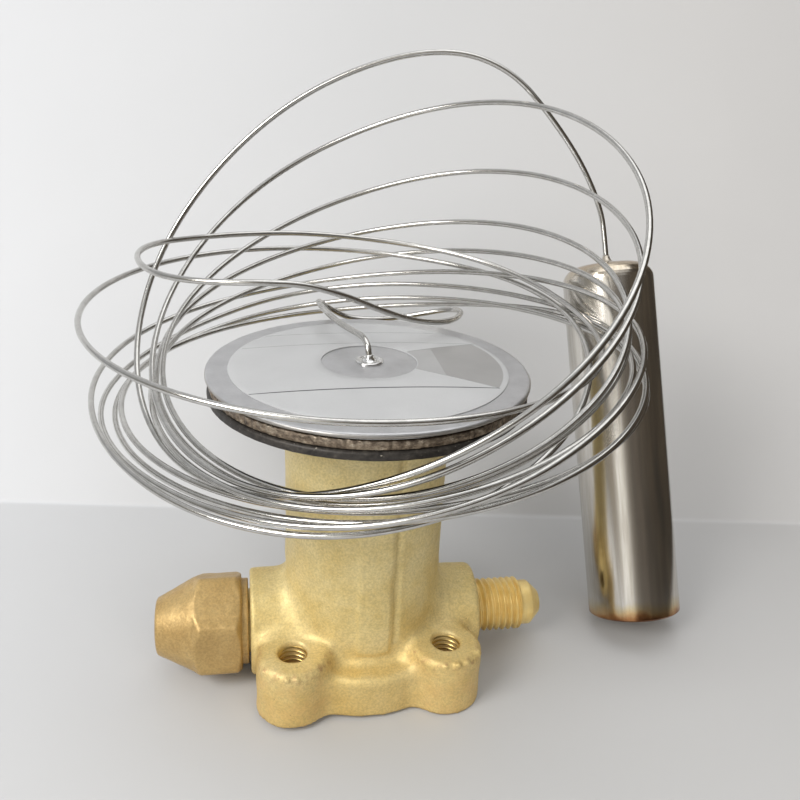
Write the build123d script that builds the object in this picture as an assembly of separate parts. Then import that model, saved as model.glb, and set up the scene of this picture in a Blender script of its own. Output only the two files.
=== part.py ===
from build123d import *
import math
import os

# ---------------------------------------------------------------------------
# Thermostatic expansion valve head: brass flanged housing with a side setting
# spindle under a sealing cap, a flare stub for pressure equalisation, a welded
# diaphragm head, and a coiled capillary tube that ends in a sensing bulb.
#
# Frame: millimetres, +Z up along the valve axis, base plane of the flange at
# Z = 0, sealing cap towards -X, equaliser stub towards +X.
# ---------------------------------------------------------------------------

# --- driving dimensions ----------------------------------------------------
BODY_R = 15.6           # outside of the housing tube
BODY_TOP = 59.5         # top of the housing collar
COLLAR_R = 18.2         # flared collar under the head
CAVITY_R = 12.0         # spring cavity
FLANGE_R = 20.8         # round part of the flange
FLANGE_H = 8.5          # its height
LUG_P = 15.0            # lug holes at (+-LUG_P, +-LUG_P)
LUG_R = 6.8
LUG_H = 12.0            # front pair
REAR_LUG_H = 5.8        # rear pair
LUG_HOLE_R = 2.55       # M6, tap drill
PORT_Z = 9.0            # axis of spindle and equaliser stub
BOSS_R = 10.6           # spindle boss
STUB_BOSS_R = 9.3       # equaliser boss
BOSS_L_X = -22.9        # end face of the spindle boss
BOSS_R_X = 23.8         # end face of the stub boss
RECESS_R = 10.5         # recess in the underside
RECESS_H = 3.0

SPIGOT_R = 7.0          # threaded spigot that carries the cap
SPIGOT_X = -31.0
STUB_R = 5.555          # 7/16-20 UNF major radius
STUB_X = 34.1           # end of the thread
NOSE_R = 4.7
NOSE_X = 36.8
TIP_X = 38.8
TIP_R = 2.7
STUB_BORE_R = 2.2

HEX_AF = 19.0           # cap, across flats
CAP_END_X = -41.6
CAP_END_R = 5.5
CAP_COLLAR_R = 8.6

RIM_R = 30.0            # welded head, outside
PLATE_R = 29.7
RIM_Z = 64.5            # top of the rim
CROWN_Z = 65.5          # crown of the top cover
LABEL_IN_R = 8.9
LABEL_OUT_R = 26.0

SPINDLE_R = 2.0
PINION_TEETH = 8
GEAR_TEETH = 24
ROD_R = 1.6
SEAT_Z = 21.0           # spring stands here
SPRING_TOP_Z = 57.5
SPRING_R = 8.7          # mean radius
WIRE_R = 0.9
SPRING_TURNS = 6

TUBE_OD = 1.2           # capillary
BULB_R = 9.9
BULB_L = 78.4
BULB_WALL = 0.8
BULB_BASE = (62.20, -0.77, 5.22)          # centre of the bottom face
BULB_AXIS = (-0.063, 0.383, 0.9214)     # leaning against the coil

# Capillary route, from inside the head's top cover to the bulb's crown.
ROUTE = [
    (0.00, 0.00, 63.95), (0.00, 0.00, 67.40), (-0.60, 2.90, 69.30), (-2.71, 7.71, 69.19),
    (-5.02, 13.88, 69.22), (-6.79, 20.44, 69.56), (-7.41, 26.32, 69.43), (-6.47, 30.71, 68.10),
    (-4.05, 33.27, 65.69), (-0.32, 34.23, 63.44), (4.73, 34.08, 62.87), (10.58, 32.97, 63.65),
    (16.21, 31.06, 65.19), (20.58, 28.52, 66.84), (22.92, 25.40, 67.84), (22.84, 21.83, 67.97),
    (20.27, 18.03, 67.74), (15.51, 14.38, 68.31), (9.36, 10.89, 70.13), (2.58, 7.67, 73.22),
    (-4.48, 4.95, 76.80), (-11.84, 3.07, 79.31), (-19.47, 2.56, 79.79), (-27.08, 4.19, 79.35),
    (-34.10, 8.28, 78.84), (-39.75, 14.57, 78.56), (-43.18, 22.53, 78.78), (-43.61, 31.22, 79.00),
    (-40.36, 39.64, 78.76), (-33.20, 47.06, 78.22), (-22.45, 52.85, 78.01), (-9.12, 56.07, 77.74),
    (5.17, 55.92, 76.74), (18.86, 52.02, 75.76), (30.92, 44.15, 74.72), (40.56, 32.54, 72.68),
    (46.37, 18.25, 70.19), (46.82, 2.36, 68.30), (39.83, -13.28, 67.23), (25.24, -25.62, 66.85),
    (5.85, -31.18, 66.60), (-15.50, -28.76, 66.60), (-35.29, -18.22, 67.26), (-49.68, -1.21, 68.23),
    (-55.30, 19.38, 69.44), (-50.88, 39.81, 70.70), (-37.38, 56.17, 71.65), (-17.49, 65.29, 72.08),
    (4.93, 65.16, 71.77), (25.59, 55.65, 71.23), (40.42, 38.46, 70.72), (46.50, 16.73, 68.70),
    (42.86, -5.20, 63.83), (30.20, -22.87, 57.07), (10.81, -32.39, 50.61), (-11.72, -31.35, 46.57),
    (-33.02, -19.44, 45.94), (-48.80, 0.94, 47.92), (-55.67, 25.14, 50.64), (-51.54, 47.92, 53.18),
    (-37.66, 64.36, 56.07), (-17.12, 70.90, 59.83), (5.99, 66.37, 64.75), (27.58, 51.91, 69.88),
    (43.97, 30.63, 73.42), (51.75, 6.86, 74.24), (48.58, -14.87, 71.47), (34.87, -30.58, 64.80),
    (14.52, -37.58, 56.22), (-8.55, -33.68, 49.43), (-30.47, -19.19, 46.32), (-47.05, 2.37, 45.66),
    (-54.40, 26.44, 46.21), (-50.19, 48.43, 47.95), (-36.10, 64.23, 51.91), (-15.66, 70.50, 57.87),
    (7.68, 65.19, 63.08), (29.62, 49.46, 66.68), (45.70, 27.40, 68.75), (52.54, 4.18, 68.45),
    (49.14, -16.17, 65.33), (36.52, -30.42, 60.11), (16.92, -35.92, 54.07), (-6.07, -31.22, 48.78),
    (-28.02, -16.90, 45.47), (-44.44, 4.03, 44.37), (-51.68, 27.08, 45.09), (-47.95, 47.51, 47.25),
    (-34.51, 61.37, 51.06), (-14.81, 65.93, 55.92), (7.24, 60.26, 60.64), (27.82, 45.70, 64.55),
    (43.63, 25.45, 66.89), (51.96, 3.85, 66.79), (50.12, -15.14, 63.99), (37.78, -28.29, 59.21),
    (17.64, -33.26, 53.90), (-5.84, -28.99, 49.58), (-27.69, -16.11, 47.28), (-43.39, 2.96, 47.11),
    (-49.77, 24.56, 48.41), (-45.67, 44.49, 50.25), (-32.18, 58.95, 52.20), (-12.56, 65.17, 54.54),
    (9.01, 61.82, 57.83), (28.59, 49.42, 62.20), (43.04, 30.34, 66.79), (50.02, 8.22, 69.51),
    (47.77, -12.61, 68.53), (35.87, -28.13, 63.99), (16.91, -35.46, 57.79), (-4.71, -32.98, 52.24),
    (-24.21, -20.77, 49.16), (-37.69, -0.87, 49.16), (-43.10, 22.73, 51.47), (-39.87, 45.04, 55.01),
    (-28.28, 61.48, 59.30), (-10.29, 68.84, 64.31), (10.27, 65.82, 70.14), (29.54, 52.91, 74.99),
    (43.91, 33.03, 77.65), (50.46, 10.68, 77.26), (47.49, -9.58, 72.89), (35.78, -24.14, 65.26),
    (18.01, -30.54, 56.68), (-2.19, -27.69, 49.94), (-21.04, -16.14, 47.03), (-35.17, 1.76, 48.24),
    (-42.01, 22.52, 52.64), (-40.06, 42.18, 58.77), (-29.36, 57.04, 65.24), (-11.90, 64.36, 71.48),
    (8.59, 62.87, 77.41), (27.97, 52.70, 82.05), (42.61, 35.55, 83.83), (49.89, 14.57, 81.93),
    (48.35, -6.09, 76.57), (38.34, -22.37, 68.61), (21.95, -31.00, 59.86), (2.31, -30.18, 52.65),
    (-16.98, -19.95, 48.94), (-32.26, -2.38, 49.50), (-40.31, 19.00, 53.86), (-39.10, 39.98, 60.94),
    (-28.56, 56.65, 69.64), (-11.02, 65.95, 78.86), (9.87, 66.12, 87.30), (29.87, 57.04, 93.30),
    (45.24, 40.23, 94.94), (52.93, 18.84, 91.85), (51.08, -2.89, 85.07), (39.46, -20.67, 75.60),
    (21.14, -31.36, 64.85), (0.41, -32.55, 55.47), (-19.17, -23.22, 50.27), (-34.33, -5.80, 50.12),
    (-42.01, 15.65, 55.04), (-40.74, 36.87, 64.67), (-31.44, 53.73, 77.26), (-15.56, 63.07, 90.09),
    (4.18, 63.15, 100.79), (23.60, 54.04, 108.18), (39.01, 37.36, 110.44), (47.84, 16.14, 106.60),
    (48.51, -5.48, 97.84), (40.44, -23.04, 85.64), (25.26, -32.96, 72.04), (5.56, -32.93, 59.40),
    (-14.92, -23.33, 49.60), (-32.09, -6.98, 45.23), (-42.78, 12.15, 48.55), (-45.92, 29.81, 59.55),
    (-41.18, 42.70, 75.45), (-29.05, 49.45, 92.58), (-12.40, 50.61, 107.44), (6.10, 48.08, 116.79),
    (22.63, 44.33, 120.01), (35.03, 41.10, 116.20), (44.14, 38.64, 107.13), (51.70, 36.27, 97.51),
    (56.25, 33.74, 88.24), (56.93, 31.33, 82.45), (57.30, 29.03, 76.92),
]


# --- helpers ---------------------------------------------------------------
def cyl(r, z0, z1, x=0.0, y=0.0):
    return Pos(x, y, z0) * Cylinder(r, z1 - z0, align=(Align.CENTER, Align.CENTER, Align.MIN))


def ring(r0, r1, z0, z1):
    return cyl(r1, z0, z1) - cyl(r0, z0 - 1, z1 + 1)


def xcyl(r, x0, x1, z=PORT_Z):
    a, b = min(x0, x1), max(x0, x1)
    return Pos(a, 0, z) * Rot(0, 90, 0) * Cylinder(r, b - a, align=(Align.CENTER, Align.CENTER, Align.MIN))


def xring(r0, r1, x0, x1, z=PORT_Z):
    a, b = min(x0, x1), max(x0, x1)
    return xcyl(r1, a, b, z) - xcyl(r0, a - 1, b + 1, z)


def turned(points):
    """Solid of revolution about Z from (r, z) points."""
    face = make_face(Polyline([(p[0], 0, p[1]) for p in points], close=True))
    return revolve(face, Axis.Z, 360)


def xturned(points, z=PORT_Z):
    """Solid of revolution about the port axis from (r, x) points."""
    face = make_face(Polyline([(p[1], 0, z + p[0]) for p in points], close=True))
    return revolve(face, Axis((0, 0, z), (1, 0, 0)), 360)


def soften(solid, edges, sizes):
    """Round the edges with the first radius that the shape takes."""
    for s in sizes:
        try:
            out = fillet(edges, s)
            if out.is_valid and out.volume > 0.5 * solid.volume:
                return out
        except Exception:
            continue
    print("left sharp:", len(edges), "edges")
    return solid


def one(shape):
    """The single solid of a shape."""
    s = shape.solids()
    return s[0] if len(s) == 1 else max(s, key=lambda q: q.volume)


NODES = {}


def node(name, shape, label=None):
    s = one(shape)
    s.label = name
    NODES[name] = s


# --- housing ---------------------------------------------------------------
base = cyl(FLANGE_R, 0, FLANGE_H)
for sx in (-1, 1):
    for sy in (-1, 1):
        h = LUG_H if sy < 0 else REAR_LUG_H
        base = base + cyl(LUG_R, 0, h, sx * LUG_P, sy * LUG_P)
        base = base + Pos(sx * LUG_P / 2, sy * LUG_P / 2, 0) * Rot(0, 0, 45 if sx * sy > 0 else -45) * Box(
            LUG_P * math.sqrt(2), 8.0, h - 0.9, align=(Align.CENTER, Align.CENTER, Align.MIN))
uprights = [e for e in base.edges().filter_by(Axis.Z) if abs(math.hypot(e.center().X, e.center().Y) - FLANGE_R) < 0.05]
base = soften(base, uprights, (2.4, 1.6, 1.0))
for h in (LUG_H, REAR_LUG_H):
    rims = [e for e in base.edges() if e.bounding_box().size.Z < 1e-4 and abs(e.center().Z - h) < 1e-3
            and math.hypot((e @ 0.5).X, (e @ 0.5).Y) > FLANGE_R]
    base = soften(base, rims, (0.8, 0.5))
rims = [e for e in base.edges() if e.bounding_box().size.Z < 1e-4 and abs(e.center().Z - FLANGE_H) < 1e-3
        and abs(math.hypot((e @ 0.5).X, (e @ 0.5).Y) - FLANGE_R) < 0.05]
base = soften(base, rims, (1.0, 0.6, 0.3))

tube_profile = turned([(0, 0), (BODY_R, 0), (BODY_R, 51.5), (16.1, 54.0), (17.3, 56.4), (COLLAR_R, 57.6),
                       (COLLAR_R, BODY_TOP), (0, BODY_TOP)])
boss_l = xturned([(0, 0), (BOSS_R, 0), (BOSS_R, BOSS_L_X + 0.8), (BOSS_R - 0.7, BOSS_L_X), (0, BOSS_L_X)])
boss_r = xturned([(0, 0), (STUB_BOSS_R, 0), (STUB_BOSS_R, BOSS_R_X - 0.6), (STUB_BOSS_R - 0.8, BOSS_R_X), (0, BOSS_R_X)])
# cast band, left bare, up the front of the tube
band = ring(BODY_R - 1.0, BODY_R + 0.35, 10.5, 50.0)
keep = None
for a in (-100.0, -95.4, -90.8, -86.2, -81.6):
    w = Rot(0, 0, a + 2.3) * Pos(0, 0, 10.5) * Box(20, 1.30, 39.5, align=(Align.MIN, Align.CENTER, Align.MIN))
    keep = w if keep is None else keep + w
band = band & keep

housing = tube_profile + base + boss_l + boss_r + band
below = Pos(0, 0, -10) * Box(120, 120, 20)
housing = housing - below
spigot = xturned([(0, BOSS_L_X + 2), (SPIGOT_R - 0.6, BOSS_L_X + 2), (SPIGOT_R - 0.6, BOSS_L_X - 0.9),
                  (SPIGOT_R, BOSS_L_X - 1.5), (SPIGOT_R, SPIGOT_X + 0.6), (SPIGOT_R - 0.6, SPIGOT_X), (0, SPIGOT_X)])
stub = xturned([(0, BOSS_R_X - 2), (STUB_R, BOSS_R_X - 2), (STUB_R, STUB_X - 0.5), (NOSE_R, STUB_X + 0.3),
                (NOSE_R, NOSE_X), (TIP_R, TIP_X), (0, TIP_X)])
housing = housing + spigot + stub
# cavity and bores
housing = housing - cyl(CAVITY_R, RECESS_H + 0.6, 70) - cyl(RECESS_R, -1, RECESS_H + 1)
housing = housing - xcyl(SPINDLE_R + 0.06, -40, -8)
housing = housing - xcyl(3.6, -40, -24.0) - xcyl(5.0, -40, -26.4)
housing = housing - xcyl(STUB_BORE_R, 8, 45)
for sx in (-1, 1):
    for sy in (-1, 1):
        housing = housing - cyl(LUG_HOLE_R, -1, LUG_H + 1, sx * LUG_P, sy * LUG_P)
# two keyways for the spring seat
for sy in (-1, 1):
    housing = housing - Pos(0, sy * 12.0, 14.8) * Box(3.2, 1.8, 12.0, align=(Align.CENTER, Align.CENTER, Align.MIN))
node("housing", housing)

# --- insert with the rod guide ---------------------------------------------
insert = turned([(ROD_R + 0.05, RECESS_H + 0.6), (CAVITY_R - 0.03, RECESS_H + 0.6), (CAVITY_R - 0.03, 5.9), (5.2, 5.9),
                 (5.2, 11.85), (3.6, 11.85), (3.6, 28.0), (ROD_R + 0.05, 28.0)])
node("rod_guide", insert)
node("guide_ring", ring(CAVITY_R - 3.0, CAVITY_R - 0.03, 5.95, 6.75) - (Pos(-8.2, 0, 5) * Box(8.4, 7.4, 4)))
node("thrust_washer", ring(3.65, 5.3, 11.88, 12.10))

# --- crown gear (adjusting nut) --------------------------------------------
gear = turned([(3.66, 12.15), (8.5, 12.15), (8.5, 14.6), (6.0, 14.6), (6.0, 27.0), (5.6, 27.4), (3.66, 27.4)])
GP = 360.0 / GEAR_TEETH
for k in range(GEAR_TEETH):
    a = (k + 0.5) * GP + 180.0
    tooth_face = make_face(Polyline([(0, -0.36, 12.4), (0, 0.36, 12.4), (0, 0.36, 12.15), (0, 0.20, 11.25),
                                     (0, -0.20, 11.25), (0, -0.36, 12.15)], close=True))
    tooth = extrude(tooth_face, 1.9, dir=(1, 0, 0))
    gear = gear + Rot(0, 0, a) * Pos(6.4, 0, 0) * tooth
node("crown_gear", gear)

# --- setting spindle with pinion -------------------------------------------
spindle = xcyl(SPINDLE_R, -36.0, -8.4)
spindle = spindle + xcyl(1.7, -8.5, -6.6)
for k in range(PINION_TEETH):
    a = k * 360.0 / PINION_TEETH
    tf = make_face(Polyline([(0, -0.42, 1.5), (0, 0.42, 1.5), (0, 0.24, 2.8), (0, -0.24, 2.8)], close=True))
    tooth = extrude(tf, 1.4, dir=(1, 0, 0))
    spindle = spindle + Pos(-8.0, 0, PORT_Z) * Rot(a, 0, 0) * tooth
spindle = spindle - Pos(-36.0, 0, PORT_Z) * Box(3.0, 0.9, 5.0)
spindle = spindle - (xring(1.6, 3.0, -33.9, -33.3))
node("setting_spindle", spindle)
node("spindle_clip", xring(1.66, 3.0, -33.85, -33.35) - (Pos(-33.6, 0, PORT_Z + 2.2) * Box(2, 1.8, 3.0)))

# --- gland ------------------------------------------------------------------
node("gland_packing", xring(SPINDLE_R + 0.05, 3.56, -26.3, -24.05))
gland = xturned([(SPINDLE_R + 0.08, -26.45), (4.95, -26.45), (4.95, -30.6), (SPINDLE_R + 0.08, -30.6)])
gland = gland - Pos(-30.6, 0, PORT_Z) * Box(2.0, 1.2, 12)
node("gland_nut", gland)

# --- spring seat, spring, pad, rod -----------------------------------------
seat = turned([(6.05, 17.6), (10.6, 17.6), (10.6, SEAT_Z), (7.3, SEAT_Z), (7.3, SEAT_Z + 1.2), (6.05, SEAT_Z + 1.2)])
for sy in (-1, 1):
    seat = seat + Pos(0, sy * 11.2, 17.6) * Box(3.0, 2.6, 2.6, align=(Align.CENTER, Align.CENTER, Align.MIN))
node("spring_seat", seat)

free = SPRING_TOP_Z - SEAT_Z - 2 * WIRE_R - 0.1
helix = Pos(0, 0, SEAT_Z + WIRE_R + 0.05) * Helix(pitch=free / SPRING_TURNS, height=free, radius=SPRING_R)
wire = sweep(Plane(origin=helix @ 0, z_dir=helix % 0) * Circle(WIRE_R), path=helix)
node("superheat_spring", wire)

pad = turned([(0, SPRING_TOP_Z), (11.0, SPRING_TOP_Z), (11.0, 61.5), (15.5, 61.5), (15.5, 62.9), (15.2, 63.1), (0, 63.1)])
pad = pad - cyl(ROD_R, SPRING_TOP_Z - 1, 60.5) - ring(5.0, 7.2, SPRING_TOP_Z - 1, 60.0)
node("diaphragm_pad", pad)
node("push_rod", turned([(0, 3.7), (ROD_R - 0.3, 3.7), (ROD_R, 4.2), (ROD_R, 60.5), (0, 60.5)]))

# --- welded head -------------------------------------------------------------
node("lower_plate", turned([(CAVITY_R, BODY_TOP), (28.6, BODY_TOP), (PLATE_R, 59.9), (PLATE_R, 60.9), (29.3, 61.3),
                            (26.0, 61.3), (26.0, 60.4), (CAVITY_R, 60.4)]))
node("weld_ring", turned([(26.0, 61.3), (29.0, 61.3), (29.3, 61.6), (29.3, 62.9), (29.0, 63.2), (26.0, 63.2)]))
dia_pts = [(0.0, 63.2), (29.0, 63.2), (29.0, 63.4), (0.0, 63.4)]
node("diaphragm", turned(dia_pts))
arc_top = ThreePointArc((26.2, 0, 64.52), (15.0, 0, 65.18), (0, 0, CROWN_Z))
arc_bot = ThreePointArc((0, 0, CROWN_Z - 0.9), (15.0, 0, 64.3), (26.0, 0, 63.66))
edge_line = Polyline([(26.0, 0, 63.66), (26.0, 0, 63.4), (29.3, 0, 63.4), (29.75, 0, 63.55), (29.93, 0, 63.8),
                      (30.0, 0, 64.0), (29.96, 0, 64.2), (29.85, 0, 64.36), (29.7, 0, 64.45), (29.5, 0, 64.5),
                      (26.2, 0, 64.52)])
side_line = Line((0, 0, CROWN_Z), (0, 0, CROWN_Z - 0.9))
cover = revolve(make_face([*arc_top.edges(), *side_line.edges(), *arc_bot.edges(), *edge_line.edges()]), Axis.Z, 360)
cover = cover - cyl(TUBE_OD / 2 + 0.03, 60, 70)
node("head_cover", cover)


def crown(r):
    """Height of the cover's top face at radius r."""
    return CROWN_Z - 0.98 * (r / 26.2) ** 2


n = 14
rs = [LABEL_IN_R + (LABEL_OUT_R - 0.1 - LABEL_IN_R) * k / n for k in range(n + 1)]
lower = [(r, crown(r) + 0.06) for r in rs]
upper = [(r, crown(r) + 0.20) for r in reversed(rs)]
node("label_foil", turned(lower + upper))
node("centre_washer", turned([(TUBE_OD / 2 + 0.03, CROWN_Z + 0.02), (2.45, CROWN_Z + 0.02), (2.45, CROWN_Z + 0.25), (2.2, CROWN_Z + 0.42),
                              (1.1, CROWN_Z + 0.42), (0.95, CROWN_Z + 0.30), (TUBE_OD / 2 + 0.03, CROWN_Z + 0.30)]))

# --- sealing cap -------------------------------------------------------------
cap_body = xturned([(0, BOSS_L_X - 0.05), (CAP_COLLAR_R - 0.25, BOSS_L_X - 0.05), (CAP_COLLAR_R, BOSS_L_X - 0.3),
                    (CAP_COLLAR_R, -24.5), (9.4, -24.6), (10.97, -25.6), (10.97, -32.6), (9.3, -34.3),
                    (CAP_END_R + 0.25, CAP_END_X + 0.25), (CAP_END_R - 0.15, CAP_END_X), (0, CAP_END_X)])
hex_r = HEX_AF / 2 / math.cos(math.pi / 6)
hex_pts = [(-20.0, hex_r * math.cos(math.radians(32.0 + 60 * k)), PORT_Z + hex_r * math.sin(math.radians(32.0 + 60 * k)))
           for k in range(6)]
hexa = extrude(make_face(Polyline(hex_pts, close=True)), 25.0, dir=(-1, 0, 0))
cap = cap_body & hexa
cap = cap - xcyl(SPIGOT_R + 0.08, BOSS_L_X + 1, -31.9) - xcyl(4.5, -30, -38.2)
node("cap", cap)
node("cap_gasket", xring(4.6, SPIGOT_R, -31.06, -31.84))

# --- sensing bulb -------------------------------------------------------------
bulb_plane = Plane(origin=BULB_BASE, z_dir=BULB_AXIS)
L, R, W = BULB_L, BULB_R, BULB_WALL
outer = [(0, 0), (R - 0.35, 0), (R, 0.35), (R, L - 4.2)]
for k in range(1, 10):
    a = math.radians(10 * k)
    outer.append((R - 4.2 + 4.2 * math.cos(a), L - 4.2 + 3.6 * math.sin(a)))
outer += [(2.0, L - 0.12), (0, L)]
bore = [(0, -1), (R - W, -1), (R - W, L - 4.2)]
for k in range(1, 10):
    a = math.radians(10 * k)
    bore.append((R - 4.2 + (4.2 - W) * math.cos(a), L - 4.2 + (3.6 - W) * math.sin(a)))
bore += [(0, L - W - 0.4)]
shell = turned(outer) - turned(bore) - cyl(TUBE_OD / 2 + 0.03, L - 5, L + 1)
node("bulb_shell", bulb_plane.location * shell)
node("bulb_end_plug", bulb_plane.location * cyl(R - W - 0.02, 0.25, 2.6))
node("bulb_neck", bulb_plane.location * turned([(TUBE_OD / 2 + 0.03, L + 0.03), (1.9, L + 0.03), (1.2, L + 0.5), (TUBE_OD / 2 + 0.15, L + 1.5),
                                                (TUBE_OD / 2 + 0.03, L + 1.5)]))


# --- capillary tube -----------------------------------------------------------
def bend_radii(points):
    """Each bend as large as its two runs allow."""
    v = [Vector(*p) for p in points]
    radii = []
    for a, b, c in zip(v[:-2], v[1:-1], v[2:]):
        p, q = b - a, c - b
        radii.append(0.45 * min(p.length, q.length) / math.tan(math.radians(p.get_angle(q)) / 2))
    return radii


radii = bend_radii(ROUTE)
path = FilletPolyline(*ROUTE, radius=radii)
tube = sweep(Plane(origin=path @ 0, z_dir=path % 0) * Circle(TUBE_OD / 2), path=path)
print("capillary bends:", " ".join("%.1f" % r for r in radii))
print("capillary length %.1f mm, volume %.1f, section x length %.1f" % (
    path.length, tube.volume, math.pi * TUBE_OD ** 2 / 4 * path.length))
node("capillary_tube", tube)

# --- export -------------------------------------------------------------------
os.makedirs("parts", exist_ok=True)
for name, shape in NODES.items():
    export_step(shape, os.path.join("parts", name + ".step"))
    bb = shape.bounding_box()
    print("%-18s valid %s volume %9.2f  x %.2f..%.2f y %.2f..%.2f z %.2f..%.2f" % (
        name, shape.is_valid, shape.volume, bb.min.X, bb.max.X, bb.min.Y, bb.max.Y, bb.min.Z, bb.max.Z))
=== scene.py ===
import bpy
import math
import numpy as np
from mathutils import Matrix, Vector


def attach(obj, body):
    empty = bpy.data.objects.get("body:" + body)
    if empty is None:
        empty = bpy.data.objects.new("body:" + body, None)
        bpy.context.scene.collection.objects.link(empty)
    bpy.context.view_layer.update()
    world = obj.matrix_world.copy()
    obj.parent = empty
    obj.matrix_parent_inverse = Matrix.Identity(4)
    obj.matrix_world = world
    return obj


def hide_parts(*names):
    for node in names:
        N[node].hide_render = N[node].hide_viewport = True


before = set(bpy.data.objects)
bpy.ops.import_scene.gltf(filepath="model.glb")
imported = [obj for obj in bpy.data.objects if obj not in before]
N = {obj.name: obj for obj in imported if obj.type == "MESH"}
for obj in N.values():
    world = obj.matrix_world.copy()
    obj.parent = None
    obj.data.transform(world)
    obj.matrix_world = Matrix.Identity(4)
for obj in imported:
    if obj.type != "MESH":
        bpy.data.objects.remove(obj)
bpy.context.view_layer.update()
MM = 0.001
scene = bpy.context.scene

# ---------------------------------------------------------------------------
# camera
# ---------------------------------------------------------------------------
YAW, PITCH, ROLL = 0.192315844, 0.394255398, 0.0517855193
EYE = Vector((-22.1480757, -145.477337, 119.230766)) * MM
sy, cy, sp, cp = math.sin(YAW), math.cos(YAW), math.sin(PITCH), math.cos(PITCH)
look = Vector((sy * cp, cy * cp, -sp))
right0 = Vector((cy, -sy, 0.0))
up0 = right0.cross(look)
right = right0 * math.cos(ROLL) + up0 * math.sin(ROLL)
up = up0 * math.cos(ROLL) - right0 * math.sin(ROLL)
cam_data = bpy.data.cameras.new("camera")
cam_data.sensor_width = 36.0
cam_data.lens = 37.876
cam_data.clip_start = 0.005
cam_data.clip_end = 20.0
cam = bpy.data.objects.new("camera", cam_data)
scene.collection.objects.link(cam)
cam.matrix_world = Matrix(((right.x, up.x, -look.x, EYE.x), (right.y, up.y, -look.y, EYE.y),
                           (right.z, up.z, -look.z, EYE.z), (0, 0, 0, 1)))
scene.camera = cam
scene.view_settings.view_transform = "Standard"
scene.view_settings.look = "None"

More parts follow.
